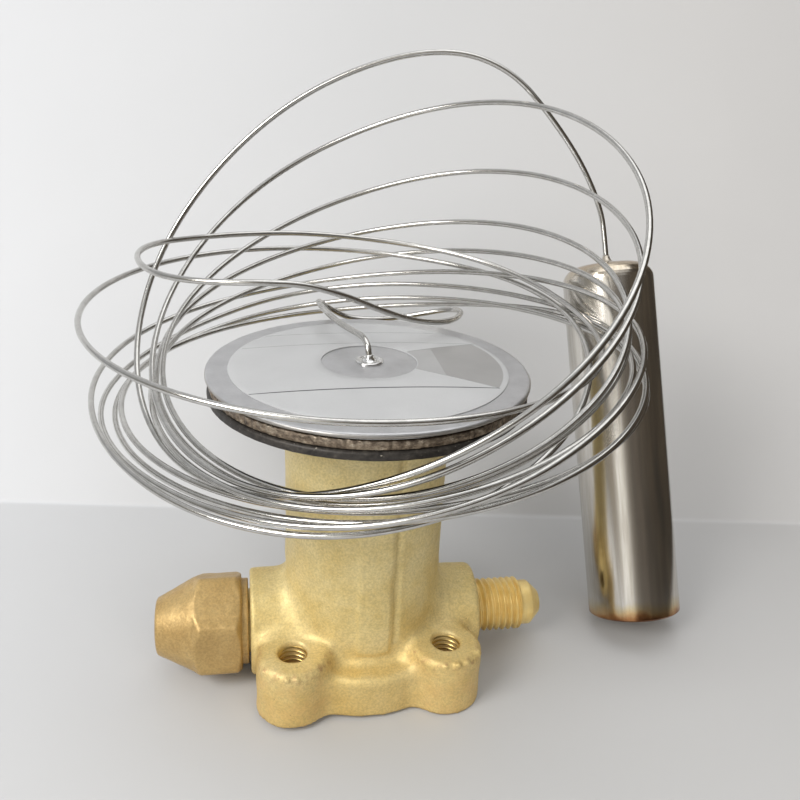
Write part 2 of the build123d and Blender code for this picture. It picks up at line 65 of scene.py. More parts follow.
# ---------------------------------------------------------------------------
# capillary tube: the same points as the route in the CAD part, in mm
# ---------------------------------------------------------------------------
ROUTE = [
    (0.00, 0.00, 63.95), (0.00, 0.00, 67.40), (-0.60, 2.90, 69.30), (-2.71, 7.71, 69.19),
    (-5.02, 13.88, 69.22), (-6.79, 20.44, 69.56), (-7.41, 26.32, 69.43), (-6.47, 30.71, 68.10),
    (-4.05, 33.27, 65.69), (-0.32, 34.23, 63.44), (4.73, 34.08, 62.87), (10.58, 32.97, 63.65),
    (16.21, 31.06, 65.19), (20.58, 28.52, 66.84), (22.92, 25.40, 67.84), (22.84, 21.83, 67.97),
    (20.27, 18.03, 67.74), (15.51, 14.38, 68.31), (9.36, 10.89, 70.13), (2.58, 7.67, 73.22),
    (-4.48, 4.95, 76.80), (-11.84, 3.07, 79.31), (-19.47, 2.56, 79.79), (-27.08, 4.19, 79.35),
    (-34.10, 8.28, 78.84), (-39.75, 14.57, 78.56), (-43.18, 22.53, 78.78), (-43.61, 31.22, 79.00),
    (-40.36, 39.64, 78.76), (-33.20, 47.06, 78.22), (-22.45, 52.85, 78.01), (-9.12, 56.07, 77.74),
    (5.17, 55.92, 76.74), (18.86, 52.02, 75.76), (30.92, 44.15, 74.72), (40.56, 32.54, 72.68),
    (46.37, 18.25, 70.19), (46.82, 2.36, 68.30), (39.83, -13.28, 67.23), (25.24, -25.62, 66.85),
    (5.85, -31.18, 66.60), (-15.50, -28.76, 66.60), (-35.29, -18.22, 67.26), (-49.68, -1.21, 68.23),
    (-55.30, 19.38, 69.44), (-50.88, 39.81, 70.70), (-37.38, 56.17, 71.65), (-17.49, 65.29, 72.08),
    (4.93, 65.16, 71.77), (25.59, 55.65, 71.23), (40.42, 38.46, 70.72), (46.50, 16.73, 68.70),
    (42.86, -5.20, 63.83), (30.20, -22.87, 57.07), (10.81, -32.39, 50.61), (-11.72, -31.35, 46.57),
    (-33.02, -19.44, 45.94), (-48.80, 0.94, 47.92), (-55.67, 25.14, 50.64), (-51.54, 47.92, 53.18),
    (-37.66, 64.36, 56.07), (-17.12, 70.90, 59.83), (5.99, 66.37, 64.75), (27.58, 51.91, 69.88),
    (43.97, 30.63, 73.42), (51.75, 6.86, 74.24), (48.58, -14.87, 71.47), (34.87, -30.58, 64.80),
    (14.52, -37.58, 56.22), (-8.55, -33.68, 49.43), (-30.47, -19.19, 46.32), (-47.05, 2.37, 45.66),
    (-54.40, 26.44, 46.21), (-50.19, 48.43, 47.95), (-36.10, 64.23, 51.91), (-15.66, 70.50, 57.87),
    (7.68, 65.19, 63.08), (29.62, 49.46, 66.68), (45.70, 27.40, 68.75), (52.54, 4.18, 68.45),
    (49.14, -16.17, 65.33), (36.52, -30.42, 60.11), (16.92, -35.92, 54.07), (-6.07, -31.22, 48.78),
    (-28.02, -16.90, 45.47), (-44.44, 4.03, 44.37), (-51.68, 27.08, 45.09), (-47.95, 47.51, 47.25),
    (-34.51, 61.37, 51.06), (-14.81, 65.93, 55.92), (7.24, 60.26, 60.64), (27.82, 45.70, 64.55),
    (43.63, 25.45, 66.89), (51.96, 3.85, 66.79), (50.12, -15.14, 63.99), (37.78, -28.29, 59.21),
    (17.64, -33.26, 53.90), (-5.84, -28.99, 49.58), (-27.69, -16.11, 47.28), (-43.39, 2.96, 47.11),
    (-49.77, 24.56, 48.41), (-45.67, 44.49, 50.25), (-32.18, 58.95, 52.20), (-12.56, 65.17, 54.54),
    (9.01, 61.82, 57.83), (28.59, 49.42, 62.20), (43.04, 30.34, 66.79), (50.02, 8.22, 69.51),
    (47.77, -12.61, 68.53), (35.87, -28.13, 63.99), (16.91, -35.46, 57.79), (-4.71, -32.98, 52.24),
    (-24.21, -20.77, 49.16), (-37.69, -0.87, 49.16), (-43.10, 22.73, 51.47), (-39.87, 45.04, 55.01),
    (-28.28, 61.48, 59.30), (-10.29, 68.84, 64.31), (10.27, 65.82, 70.14), (29.54, 52.91, 74.99),
    (43.91, 33.03, 77.65), (50.46, 10.68, 77.26), (47.49, -9.58, 72.89), (35.78, -24.14, 65.26),
    (18.01, -30.54, 56.68), (-2.19, -27.69, 49.94), (-21.04, -16.14, 47.03), (-35.17, 1.76, 48.24),
    (-42.01, 22.52, 52.64), (-40.06, 42.18, 58.77), (-29.36, 57.04, 65.24), (-11.90, 64.36, 71.48),
    (8.59, 62.87, 77.41), (27.97, 52.70, 82.05), (42.61, 35.55, 83.83), (49.89, 14.57, 81.93),
    (48.35, -6.09, 76.57), (38.34, -22.37, 68.61), (21.95, -31.00, 59.86), (2.31, -30.18, 52.65),
    (-16.98, -19.95, 48.94), (-32.26, -2.38, 49.50), (-40.31, 19.00, 53.86), (-39.10, 39.98, 60.94),
    (-28.56, 56.65, 69.64), (-11.02, 65.95, 78.86), (9.87, 66.12, 87.30), (29.87, 57.04, 93.30),
    (45.24, 40.23, 94.94), (52.93, 18.84, 91.85), (51.08, -2.89, 85.07), (39.46, -20.67, 75.60),
    (21.14, -31.36, 64.85), (0.41, -32.55, 55.47), (-19.17, -23.22, 50.27), (-34.33, -5.80, 50.12),
    (-42.01, 15.65, 55.04), (-40.74, 36.87, 64.67), (-31.44, 53.73, 77.26), (-15.56, 63.07, 90.09),
    (4.18, 63.15, 100.79), (23.60, 54.04, 108.18), (39.01, 37.36, 110.44), (47.84, 16.14, 106.60),
    (48.51, -5.48, 97.84), (40.44, -23.04, 85.64), (25.26, -32.96, 72.04), (5.56, -32.93, 59.40),
    (-14.92, -23.33, 49.60), (-32.09, -6.98, 45.23), (-42.78, 12.15, 48.55), (-45.92, 29.81, 59.55),
    (-41.18, 42.70, 75.45), (-29.05, 49.45, 92.58), (-12.40, 50.61, 107.44), (6.10, 48.08, 116.79),
    (22.63, 44.33, 120.01), (35.03, 41.10, 116.20), (44.14, 38.64, 107.13), (51.70, 36.27, 97.51),
    (56.25, 33.74, 88.24), (56.93, 31.33, 82.45), (57.30, 29.03, 76.92),
]
cu = bpy.data.curves.new("capillary", "CURVE")
cu.dimensions = "3D"
sp_ = cu.splines.new("NURBS")
sp_.points.add(len(ROUTE) - 1)
for pt, co in zip(sp_.points, ROUTE):
    pt.co = (co[0] * MM, co[1] * MM, co[2] * MM, 1.0)
sp_.order_u = 3
sp_.use_endpoint_u = True
cu.resolution_u = 10
cu.bevel_depth = 0.0006
cu.bevel_resolution = 4
cu.use_fill_caps = True
capillary = bpy.data.objects.new("capillary", cu)
scene.collection.objects.link(capillary)


# ---------------------------------------------------------------------------
# mesh helpers, all in mm
# ---------------------------------------------------------------------------
PORT_Z = 9.0


def make_object(name, verts, faces, sharp=None):
    """faces: an int array of quads (a repeated index makes a triangle) or a list of tuples."""
    me = bpy.data.meshes.new(name)
    v = np.asarray(verts, float) * MM
    if isinstance(faces, np.ndarray) and faces.shape[1] == 4:
        nf = len(faces)
        me.vertices.add(len(v))
        me.vertices.foreach_set("co", v.astype(np.float32).ravel())
        me.loops.add(nf * 4)
        me.loops.foreach_set("vertex_index", faces.astype(np.int32).ravel())
        me.polygons.add(nf)
        me.polygons.foreach_set("loop_start", np.arange(0, nf * 4, 4, dtype=np.int32))
        me.update(calc_edges=True)
        me.validate()
    else:
        me.from_pydata([tuple(p) for p in v], [], [tuple(int(i) for i in f) for f in faces])
        me.update()
    me.polygons.foreach_set("use_smooth", np.ones(len(me.polygons), bool))
    if sharp is not None:
        me.set_sharp_from_angle(angle=math.radians(sharp))
    ob = bpy.data.objects.new(name, me)
    scene.collection.objects.link(ob)
    return ob


def refine(prof, step, closed=True):
    """Divide the long sides of an outline."""
    out = []
    m = len(prof)
    for i in range(m if closed else m - 1):
        a, b = np.array(prof[i], float), np.array(prof[(i + 1) % m], float)
        k = max(1, int(math.ceil(np.linalg.norm(b - a) / step)))
        for j in range(k):
            out.append(tuple(a + (b - a) * j / k))
    if not closed:
        out.append(tuple(prof[-1]))
    return out


def lathe(name, prof, n=192, axis="z", mod=None, sharp=38.0, basis=None, z0=PORT_Z):
    """Closed outline (r, a) turned about an axis. Points with r = 0 are poles."""
    th = np.linspace(0, 2 * math.pi, n, endpoint=False)
    rows = []
    verts = []
    count = 0
    for i, (r, a) in enumerate(prof):
        if r < 1e-9:
            verts.append(np.array([[0.0, 0.0, a]]))
            rows.append(np.full(n, count))
            count += 1
        else:
            rr = np.full(n, float(r))
            aa = np.full(n, float(a))
            if mod is not None:
                rr, aa = mod(rr, aa, th, i)
            verts.append(np.stack([rr * np.cos(th), rr * np.sin(th), aa], 1))
            rows.append(np.arange(count, count + n))
            count += n
    v = np.concatenate(verts)
    faces = []
    m = len(prof)
    area = 0.0
    for i in range(m):
        (r0, a0), (r1, a1) = prof[i], prof[(i + 1) % m]
        area += (r0 * a1 - r1 * a0)
    for i in range(m):
        A, B = rows[i], rows[(i + 1) % m]
        An, Bn = np.roll(A, -1), np.roll(B, -1)
        pa, pb = prof[i][0] < 1e-9, prof[(i + 1) % m][0] < 1e-9
        if pa and pb:
            continue
        if area > 0:
            A, B, An, Bn = An, Bn, A, B
        if pa:
            faces += [(a, bn, b) for a, b, bn in zip(A, B, Bn)]
        elif pb:
            faces += [(a, an, b) for a, an, b in zip(A, An, B)]
        else:
            faces += [(a, an, bn, b) for a, an, bn, b in zip(A, An, Bn, B)]
    # outline runs counter-clockwise in (r, a) when area > 0
    if axis == "x":
        v = np.stack([v[:, 2], v[:, 0], z0 + v[:, 1]], 1)
    if basis is not None:
        v = v @ basis[:3, :3].T + basis[:3, 3]
    ob = make_object(name, v, faces, sharp)
    fix_normals(ob)
    return ob


def fix_normals(ob):
    import bmesh
    bm = bmesh.new()
    bm.from_mesh(ob.data)
    bmesh.ops.recalc_face_normals(bm, faces=bm.faces)
    bm.to_mesh(ob.data)
    bm.free()
    ob.data.update()


def surface_nets(vol, lo, h):
    inside = vol < 0
    s = np.zeros(tuple(k - 1 for k in vol.shape), np.int8)
    for dx in (0, 1):
        for dy in (0, 1):
            for dz in (0, 1):
                s += inside[dx:vol.shape[0] - 1 + dx, dy:vol.shape[1] - 1 + dy, dz:vol.shape[2] - 1 + dz]
    mask = (s > 0) & (s < 8)
    idx = np.full(mask.shape, -1, np.int64)
    cells = np.argwhere(mask)
    idx[mask] = np.arange(len(cells))
    pos = np.zeros((len(cells), 3))
    cnt = np.zeros(len(cells))
    corners = [(a, b, c) for a in (0, 1) for b in (0, 1) for c in (0, 1)]
    for a in corners:
        for b in corners:
            d = np.array(b) - np.array(a)
            if d.sum() != 1 or np.abs(d).sum() != 1:
                continue
            va = vol[cells[:, 0] + a[0], cells[:, 1] + a[1], cells[:, 2] + a[2]]
            vb = vol[cells[:, 0] + b[0], cells[:, 1] + b[1], cells[:, 2] + b[2]]
            cr = (va < 0) != (vb < 0)
            t = va[cr] / (va[cr] - vb[cr])
            pos[cr] += np.array(a) + t[:, None] * d
            cnt[cr] += 1
    pos = (cells + pos / cnt[:, None]) * h + np.array(lo)
    quads = []
    for d in range(3):
        u, v = (d + 1) % 3, (d + 2) % 3
        s0 = [slice(None)] * 3
        s1 = [slice(None)] * 3
        s0[d], s1[d] = slice(0, -1), slice(1, None)
        A, B = inside[tuple(s0)], inside[tuple(s1)]
        e = np.argwhere(A != B)
        e = e[(e[:, u] > 0) & (e[:, v] > 0) & (e[:, u] < vol.shape[u] - 1) & (e[:, v] < vol.shape[v] - 1)]
        du, dv = np.zeros(3, int), np.zeros(3, int)
        du[u], dv[v] = 1, 1
        q = np.stack([idx[tuple(e.T)], idx[tuple((e - du).T)], idx[tuple((e - du - dv).T)], idx[tuple((e - dv).T)]], 1)
        flip = ~A[tuple(e.T)]
        q[flip] = q[flip][:, ::-1]
        quads.append(q)
    return pos, np.concatenate(quads)


def sdf_object(name, sdf, lo, hi, h, sharp=None):
    ax = [np.arange(lo[i], hi[i] + h, h) for i in range(3)]
    X, Y, Z = np.meshgrid(*ax, indexing="ij", sparse=True)
    vol = sdf(X, Y, Z)
    vol = np.broadcast_to(vol, (len(ax[0]), len(ax[1]), len(ax[2])))
    p, q = surface_nets(vol, [a[0] for a in ax], h)
    for _ in range(2):
        e = 0.06
        f = lambda P: sdf(P[:, 0], P[:, 1], P[:, 2])
        g = np.stack([f(p + np.array(o) * e) - f(p - np.array(o) * e) for o in ((1, 0, 0), (0, 1, 0), (0, 0, 1))], 1) / (2 * e)
        d = f(p)
        n2 = np.maximum((g ** 2).sum(1), 0.2)
        step = -(d / n2)[:, None] * g
        ln = np.linalg.norm(step, axis=1)
        step *= np.minimum(1.0, 0.35 * h / np.maximum(ln, 1e-9))[:, None]
        p = p + step
    return make_object(name, p, q, sharp), p


def smin(a, b, k):
    hh = np.maximum(k - np.abs(a - b), 0.0) / k
    return np.minimum(a, b) - hh * hh * k * 0.25


def smax(a, b, k):
    return -smin(-a, -b, k)


def rbox(qx, qy, r):
    """2-D rounded box distance from signed distances to its sides."""
    qx, qy = qx + r, qy + r
    return np.sqrt(np.maximum(qx, 0) ** 2 + np.maximum(qy, 0) ** 2) + np.minimum(np.maximum(qx, qy), 0) - r


rng = np.random.RandomState(7)
WAVES = []
for wl, amp in ((9.0, 0.045), (6.0, 0.035), (3.6, 0.022), (2.4, 0.014)):
    for _ in range(7):
        d = rng.normal(size=3)
        d /= np.linalg.norm(d)
        WAVES.append((d * 2 * math.pi / (wl * rng.uniform(0.8, 1.25)), rng.uniform(0, 6.28), amp / math.sqrt(7)))


def unevenness(X, Y, Z):
    out = 0.0
    for k, ph, a in WAVES:
        out = out + a * np.sin(k[0] * X + k[1] * Y + k[2] * Z + ph)
    return out


# ---------------------------------------------------------------------------
# housing casting
# ---------------------------------------------------------------------------
TUBE_Z = np.array([-5.0, 51.5, 54.0, 56.4, 57.6, 62.0])
TUBE_R = np.array([15.6, 15.6, 16.1, 17.3, 18.2, 18.2])


def casting(X, Y, Z):
    rho = np.sqrt(X * X + Y * Y)
    tube = (rho - np.interp(Z, TUBE_Z, TUBE_R)) * 0.97
    flange = rbox(rho - 20.6 + 0 * Z, np.abs(Z + 20.0) - 28.6, 1.5)
    d = smin(tube, flange, 2.6)
    # a soft step where the flange's web was dressed
    for sx in (-1, 1):
        for s_y in (-1, 1):
            lx, floor_shade_weights = X - sx * 15.0, Y - s_y * 15.0
            lr = np.sqrt(lx * lx + floor_shade_weights * floor_shade_weights)
            top = 12.0 if s_y < 0 else 5.8
            lug = rbox(lr - 6.9 - 0.012 * (12.0 - Z), np.abs(Z + 20.0) - 20.0 - top, 1.5)
            t = np.clip((X * sx + Y * s_y) / 30.0, 0.0, 1.0)
            ax_ = np.sqrt((X - sx * 15.0 * t) ** 2 + (Y - s_y * 15.0 * t) ** 2)
            neck = rbox(ax_ - 5.2, np.abs(Z + 20.0) - 19.1 - top, 2.2)
            one = smin(lug, neck, 2.4)
            d = smin(d, one, 2.8)
    az = np.sqrt(Y * Y + (Z - PORT_Z) ** 2)
    boss_l = rbox(az - 10.6 + 0 * X, np.abs(X + 11.45) - 11.45, 0.75)
    boss_r = rbox(az - 9.3 + 0 * X, np.abs(X - 11.9) - 11.9, 0.9)
    d = smin(d, boss_l, 3.4)
    d = smin(d, boss_r, 3.0)
    # left bare: the raised band up the front of the tube, with its side groove
    ang = np.degrees(np.arctan2(Y, X))
    arc = np.abs(ang + 88.5) * 15.8 * math.pi / 180.0
    band = smax(smax(rho - 15.95, arc - 3.1, 0.5), 10.8 - Z, 0.6)
    d = smin(d, band, 0.7)
    arc2 = np.abs(ang + 72.6) * 15.8 * math.pi / 180.0
    d = smax(d, -smax(15.15 - rho, smax(arc2 - 0.50, 12.5 - Z, 0.4), 0.25), 0.25)
    # parting line over the stub boss and down its lug
    seam = smax(np.abs(X - 17.9 + 0.05 * Z) - 0.16, az - 9.42, 0.2)
    seam = smax(seam, Y + 2.0, 0.3)
    d = smin(d, smax(seam, 3.0 - X, 0.2), 0.35)
    # burrs on the front edges of the lugs
    for bx, by, bz, br in ((15.9, -21.6, 11.6, 0.62), (13.6, -21.5, 11.4, 0.42), (17.9, -20.9, 11.5, 0.5), (20.6, -18.4, 11.4, 0.7),
                           (-14.6, -21.7, 11.2, 0.5), (-16.4, -21.7, 11.3, 0.42), (-20.6, -18.6, 11.2, 0.45)):
        b = np.sqrt((X - bx) ** 2 + (Y - by) ** 2 + ((Z - bz) * 1.2) ** 2) - br
        d = smin(d, b, 0.6)
    d = d + unevenness(X, Y, Z)
    d = np.maximum(d, Z - 59.5)
    # dressed ends of the bosses
    d = smax(d, X - 23.8, 0.25)
    d = smax(d, -22.9 - X, 0.2)
    # openings
    d = np.maximum(d, -Z)
    d = np.maximum(d, -np.maximum(rho - 12.0, 3.6 - Z))
    d = np.maximum(d, -np.maximum(rho - 10.5, Z - 4.0))
    d = np.maximum(d, -np.maximum(az - 4.9, np.maximum(X + 15.0, -30.0 - X)) - 0 * Z)
    d = np.maximum(d, -np.maximum(az - 4.7, 19.0 - X))
    d = np.maximum(d, -(np.maximum(az - 2.2, np.maximum(8.0 - X, X - 30.0))))
    d = np.maximum(d, -(np.maximum(az - 2.06, np.maximum(-30.0 - X, X + 8.0))))
    for sx in (-1, 1):
        for s_y in (-1, 1):
            lr = np.sqrt((X - sx * 15.0) ** 2 + (Y - s_y * 15.0) ** 2)
            top = 12.0 if s_y < 0 else 5.8
            d = smax(d, -smax(lr - 2.75 - np.clip(Z - top + 0.45, 0, 0.5) * 0.40, Z - (14.0 if s_y < 0 else 9.6), 0.2), 0.30)
    for s_y in (-1, 1):
        key = np.maximum(np.maximum(np.abs(X) - 1.6, np.abs(Y - s_y * 12.0) - 0.9), np.abs(Z - 20.8) - 6.0)
        d = np.maximum(d, -key)
    return d


housing, P = sdf_object("housing_casting", casting, (-24.2, -23.6, -0.9), (25.0, 23.6, 60.6), 0.44)
# stain mask: handled edges and burrs of the lugs, and the foot
lug_d = np.min([np.abs(np.hypot(P[:, 0] - a, P[:, 1] - b) - 6.9) for a in (-15, 15) for b in (-15, 15)], axis=0)
edge = np.exp(-(lug_d / 1.3) ** 2) * np.exp(-((P[:, 2] - 11.4) / 1.6) ** 2)
near = np.min([np.hypot(P[:, 0] - a, P[:, 1] - b) for a in (-15, 15) for b in (-15, 15)], axis=0)
lugs = np.clip((9.0 - near) / 4.0, 0, 1) * np.clip((12.5 - P[:, 2]) / 4.0, 0, 1)
at = housing.data.attributes.new("stain", "FLOAT", "POINT")
at.data.foreach_set("value", np.clip(edge, 0, 1).astype(np.float32))
at = housing.data.attributes.new("warm", "FLOAT", "POINT")
at.data.foreach_set("value", np.clip(lugs, 0, 1).astype(np.float32))


# ---------------------------------------------------------------------------
# turned and threaded brass
# ---------------------------------------------------------------------------
def helix_depth(a, th, pitch, width=0.5):
    """0 on the crest, 1 at the root of a right-hand thread."""
    ph = (a / pitch - th / (2 * math.pi)) % 1.0
    t = 1.0 - 2.0 * np.abs(ph - 0.5)
    return np.clip((t - 0.12) / 0.76, 0.0, 1.0)


def stub_mod(r, a, th, i):
    on = (np.abs(r - 5.555) < 0.01)
    fade = np.clip((a - 23.9) / 0.9, 0, 1) * np.clip((34.3 - a) / 0.8, 0, 1)
    r = np.where(on, r - 0.80 * helix_depth(a, th, 1.35) * fade, r)
    return r, a


stub_prof = [(2.2, 20.0), (5.0, 20.0), (5.0, 23.4), (5.555, 23.7)]
stub_prof += [(5.555, x) for x in np.arange(23.8, 34.0, 0.085)]
stub_prof += [(5.50, 34.02), (4.72, 34.45), (4.70, 34.7), (4.70, 36.45), (4.66, 36.62), (4.55, 36.78), (3.6, 37.75), (2.86, 38.5), (2.72, 38.66),
              (2.58, 38.78), (2.40, 38.80), (2.25, 38.66)]
stub = lathe("flare_stub", refine(stub_prof, 1.2), n=160, axis="x", mod=stub_mod, sharp=50)


def spigot_mod(r, a, th, i):
    on = (np.abs(r - 7.0) < 0.01)
    fade = np.clip((a + 30.6) / 0.7, 0, 1) * np.clip((-24.5 - a) / 0.7, 0, 1)
    r = np.where(on, r - 0.62 * helix_depth(a, th, 1.5) * fade, r)
    return r, a


spig = [(2.06, -20.5), (2.06, -24.0), (3.6, -24.0), (3.6, -26.4), (5.0, -26.4), (5.0, -30.95), (5.1, -31.0), (6.3, -31.0), (7.0, -30.5)]
spig += [(7.0, x) for x in np.arange(-30.4, -24.4, 0.1)]
spig += [(6.4, -24.3), (6.4, -22.6), (4.9, -22.6), (4.9, -20.5)]
spigot = lathe("cap_spigot", spig, n=144, axis="x", mod=spigot_mod, sharp=45)

# thread sleeves in the four lugs
sleeves = []
for k, (sx, s_y) in enumerate(((-1, -1), (1, -1), (1, 1), (-1, 1))):
    def sleeve_mod(r, a, th, i):
        on = (np.abs(r - 2.58) < 0.01)
        fade = np.clip((a - 0.3) / 0.8, 0, 1) * np.clip(((11.3 if s_y < 0 else 5.1) - a) / 0.6, 0, 1)
        r = np.where(on, r + 0.40 * helix_depth(a, th, 1.0) * fade, r)
        return r, a
    hz = 11.31 if s_y < 0 else 5.11
    pr = [(2.58, z) for z in np.arange(0.35, hz, 0.11)] + [(3.0, hz + 0.30), (3.25, hz + 0.15), (3.25, 0.2), (2.95, 0.05)]
    ob = lathe("lug_thread_%d" % (k + 1), pr, n=72, axis="z", mod=sleeve_mod, sharp=50)
    ob.data.transform(Matrix.Translation((sx * 15 * MM, s_y * 15 * MM, 0)))
    sleeves.append(ob)


# ---------------------------------------------------------------------------
# sealing cap
# ---------------------------------------------------------------------------
CAP_X = np.array([-41.6, -41.5, -41.25, -34.35, -34.0, -32.6, -25.6, -24.62])
CAP_R = np.array([5.05, 5.35, 5.68, 9.3, 9.52, 10.9, 10.9, 9.6])


def cap_field(X, Y, Z):
    zz = Z - PORT_Z
    az = np.sqrt(Y * Y + zz * zz)
    hexd = -1e9
    for k in range(6):
        a = math.radians(32.0 + 30.0 + 60.0 * k)
        hexd = smax(hexd + 0 * X, Y * math.cos(a) + zz * math.sin(a) - 9.5, 0.75) if k else (Y * math.cos(a) + zz * math.sin(a) - 9.5 + 0 * X)
    cone = (az - np.interp(X, CAP_X, CAP_R)) * 0.88
    body = smax(hexd, cone, 0.45)
    body = smax(body, X + 24.62, 0.25)
    body = smax(body, -41.6 - X, 0.5)
    body = body + 0.35 * unevenness(X * 2.1, Y * 2.1, Z * 2.1)
    collar = smax(az - 8.6, np.abs(X + 24.35) - 1.10, 0.25)
    d = np.minimum(body, collar)
    th = np.arctan2(zz, Y)
    ph = (X / 1.5 - th / (2 * math.pi)) % 1.0
    groove = 0.42 * np.clip((1.0 - 2.0 * np.abs(ph - 0.5)) * 1.25, 0, 1) * np.clip((-24.2 - X) / 0.6, 0, 1) * np.clip((X + 31.0) / 0.6, 0, 1)
    bore = np.maximum(az - 7.08 - groove, np.abs(X + 26.4) - 5.5)
    d = np.maximum(d, -bore)
    d = np.maximum(d, -np.maximum(az - 4.5, np.abs(X + 33.0) - 5.2))
    return d


cap, CP = sdf_object("cap_body", cap_field, (-42.3, -11.6, -2.6), (-22.2, 11.6, 20.6), 0.25)

# ---------------------------------------------------------------------------
# welded head
# ---------------------------------------------------------------------------
def dome(r):
    return 65.5 - 0.98 * (r / 26.2) ** 2


cover_prof = [(0.0, 65.5)] + [(r, dome(r)) for r in (3, 6, 9, 12, 15, 18, 21, 24, 25.6)]
cover_prof += [(26.1, 64.545), (26.5, 64.50), (28.0, 64.50), (29.35, 64.49), (29.62, 64.44), (29.82, 64.33), (29.95, 64.14), (30.0, 63.95),
               (29.95, 63.76), (29.78, 63.60), (29.5, 63.47), (29.2, 63.42), (26.0, 63.42), (26.0, 63.66), (15.0, 64.3), (0.0, 64.6)]


def rim_mod(r, a, th, i):
    if r[0] > 29.0:
        r = r + 0.035 * np.sin(5 * th + 0.4) * np.sin(3 * th) + 0.02 * np.sin(23 * th + 1.0)
        a = a + 0.02 * np.sin(4 * th + 1.3)
    return r, a


cover = lathe("head_top", cover_prof, n=320, mod=rim_mod, sharp=50)

WB = np.random.RandomState(11)
wb_amp = [(k, WB.uniform(0, 6.28), WB.uniform(-1, 1), WB.uniform(-1.5, 1.5)) for k in (7, 11, 17, 23, 31, 41, 53, 67, 83, 97, 113, 131, 151, 173)]


def weld_mod(r, a, th, i):
    if r[0] > 28.5:
        w = 0.0
        for k, ph, s, t in wb_amp:
            w = w + s * np.sin(k * th + ph + t * (a - 62.3) * 2.2)
        band = np.exp(-((a - 62.3) / 0.85) ** 4)
        r = r + 0.035 * w * band
        r = r + 0.05 * np.sin(th * 118 + 1.6 * np.sin(7 * th)) * band * (a < 62.9)
    return r, a


weld_prof = [(26.0, 61.31), (28.95, 61.31), (29.1, 61.40)] + [(29.33 - 0.10 * abs(t) ** 2, 62.22 + 0.78 * t) for t in np.linspace(-1, 1, 15)] + \
            [(28.95, 63.10), (28.85, 63.24), (29.0, 63.36), (28.9, 63.41), (26.0, 63.41)]
weld = lathe("weld_band", weld_prof, n=960, mod=weld_mod, sharp=None)

plate_prof = refine([(12.0, 59.52), (28.5, 59.52), (29.35, 59.62), (29.66, 59.86), (29.7, 60.1), (29.7, 60.75), (29.6, 61.0), (29.3, 61.22), (28.95, 61.3),
                     (26.0, 61.3), (26.0, 60.4), (12.0, 60.4)], 2.5)


def plate_mod(r, a, th, i):
    if r[0] > 29.0:
        r = r + 0.03 * np.sin(61 * th + 2 * np.sin(9 * th)) * np.sin(17 * th + 0.6)
    return r, a


plate = lathe("head_underside", plate_prof, n=480, mod=plate_mod, sharp=45)

label_prof = [(8.92, dome(8.92) + 0.02), (8.92, dome(8.92) + 0.17), (8.97, dome(8.97) + 0.2)]
label_prof += [(r, dome(r) + 0.2) for r in (11, 13, 15, 17, 19, 21, 23, 24.5, 25.80)]
label_prof += [(25.88, dome(25.88) + 0.17), (25.88, dome(25.88) + 0.02)] + [(r, dome(r) + 0.02) for r in (23, 20, 17, 14, 11)]
label = lathe("label_sheet", label_prof, n=256, sharp=45)


def printed_patch(name, r0f, r1f, a0f, a1f, top, nr=14, na=40):
    """Thin closed layer on the label between two radii and two angles (degrees)."""
    V, F = [], []
    for layer, dz in ((0, top), (1, 0.12)):
        for i in range(nr + 1):
            for j in range(na + 1):
                t, s = i / nr, j / na
                r = None
                a = a0f(t) * (1 - s) + a1f(t) * s
                r = r0f(a) * (1 - t) + r1f(a) * t
                V.append((r * math.cos(math.radians(a)), r * math.sin(math.radians(a)), dome(r) + dz))
    W = na + 1
    off = (nr + 1) * W
    for i in range(nr):
        for j in range(na):
            a, b, c, d = i * W + j, (i + 1) * W + j, (i + 1) * W + j + 1, i * W + j + 1
            F.append((a, b, c, d))
            F.append((off + a, off + d, off + c, off + b))
    ring = [j for j in range(na)] + [i * W + na for i in range(nr)] + [nr * W + j for j in range(na, 0, -1)] + [i * W for i in range(nr, 0, -1)]
    for k in range(len(ring)):
        p, q = ring[k], ring[(k + 1) % len(ring)]
        F.append((p, q, off + q, off + p))
    ob = make_object(name, V, F, 40)
    fix_normals(ob)
    return ob


window = printed_patch("label_window", lambda a: 9.05, lambda a: 24.9, lambda t: -28.8 - 2.0 * t, lambda t: 30.9 - 5.0 * t, 0.212)
window2 = printed_patch("label_window_shade", lambda a: 13.0 / math.cos(math.radians(a)), lambda a: 24.85, lambda t: -29.6 - 1.1 * t,
                        lambda t: 28.6 - 2.6 * t, 0.224)


def printed_rule(name, p, q, w, n=60, top=0.222, taper=0.0):
    V, F = [], []
    p, q = np.array(p, float), np.array(q, float)
    d = (q - p) / np.linalg.norm(q - p)
    nn = np.array([-d[1], d[0]])
    for i in range(n + 1):
        t = i / n
        c = p + (q - p) * t
        ww = w * (1 - taper * abs(2 * t - 1) ** 6)
        for s, dz in ((-1, 0.12), (-1, top), (1, top), (1, 0.12)):
            x, y = c + nn * s * ww / 2
            V.append((x, y, dome(math.hypot(x, y)) + dz))
    for i in range(n):
        for k in range(4):
            a, b = i * 4 + k, i * 4 + (k + 1) % 4
            F.append((a, b, b + 4, a + 4))
    F.append((3, 2, 1, 0))
    F.append((n * 4, n * 4 + 1, n * 4 + 2, n * 4 + 3))
    ob = make_object(name, V, F, 40)
    fix_normals(ob)
    return ob


rule_front = printed_rule("label_rule_front", (-22.2, -13.1), (21.6, -12.75), 0.30, taper=0.5)
rule_back = printed_rule("label_rule_back", (-23.3, 9.9), (23.0, 11.0), 0.14)
rule_far = printed_rule("label_rule_far", (-18.6, 17.4), (18.2, 17.9), 0.10)
window_edge_a = printed_rule("label_window_edge_a", (8.1, 5.0), (23.0, 11.05), 0.12, top=0.230)
window_edge_b = printed_rule("label_window_edge_b", (8.2, -4.55), (21.5, -12.7), 0.10, top=0.230)

